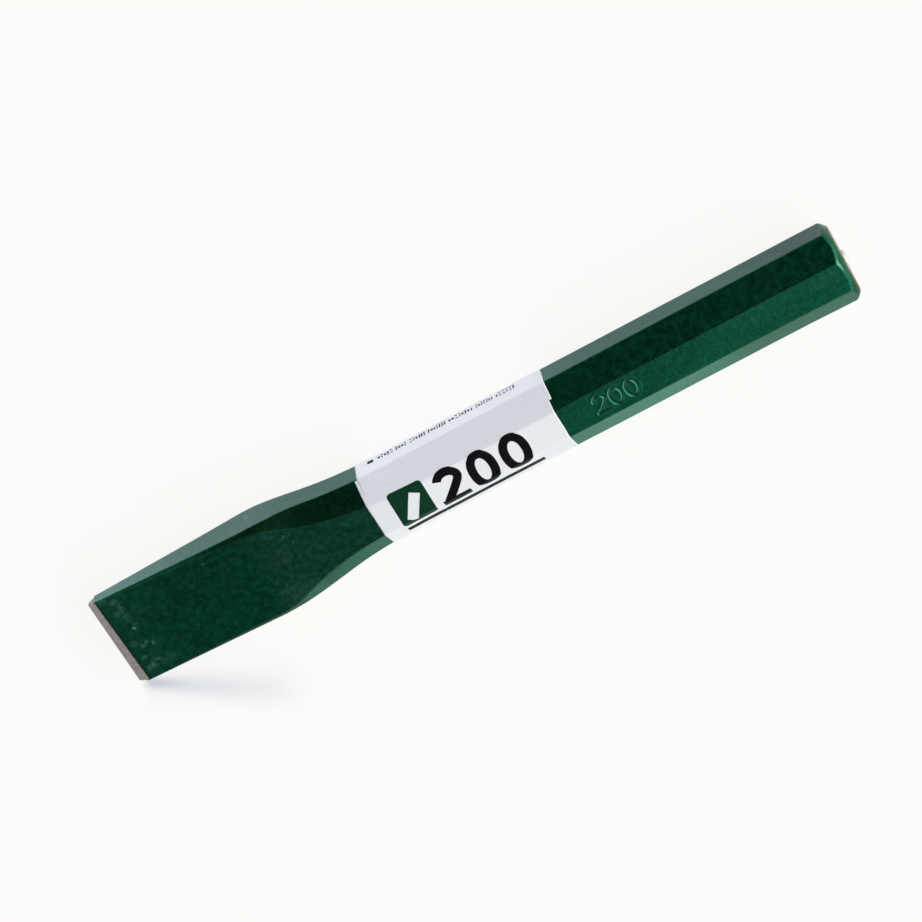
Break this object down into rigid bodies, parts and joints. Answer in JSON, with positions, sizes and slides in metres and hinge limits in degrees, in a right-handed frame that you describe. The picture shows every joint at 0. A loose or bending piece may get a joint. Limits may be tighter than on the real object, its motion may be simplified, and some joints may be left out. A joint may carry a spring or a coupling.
{
  "type": "cold chisel",
  "caption": "Cold chisel with an octagonal shank, flattened blade, ground cutting edge, chamfered struck head, green enamel and a paper label band.",
  "frame": {"origin": "middle of the cutting edge, on the tool's axis", "axes": "+X along the tool from the cutting edge to the struck head, +Z normal to the broad blade face (up, lying flat), +Y across the blade towards its narrow side"},
  "size_m": [0.2007, 0.0254, 0.0186],
  "materials": {
    "steel": "ground and slightly tarnished",
    "enamel": "semi-gloss dark green enamel",
    "glue": "dull film",
    "paper": "coated white paper"
  },
  "bodies": {
    "root": {"forged_body": "steel", "enamel_coat": "enamel", "label_adhesive": "glue", "paper_label": "paper"}
  },
  "joints": []
}
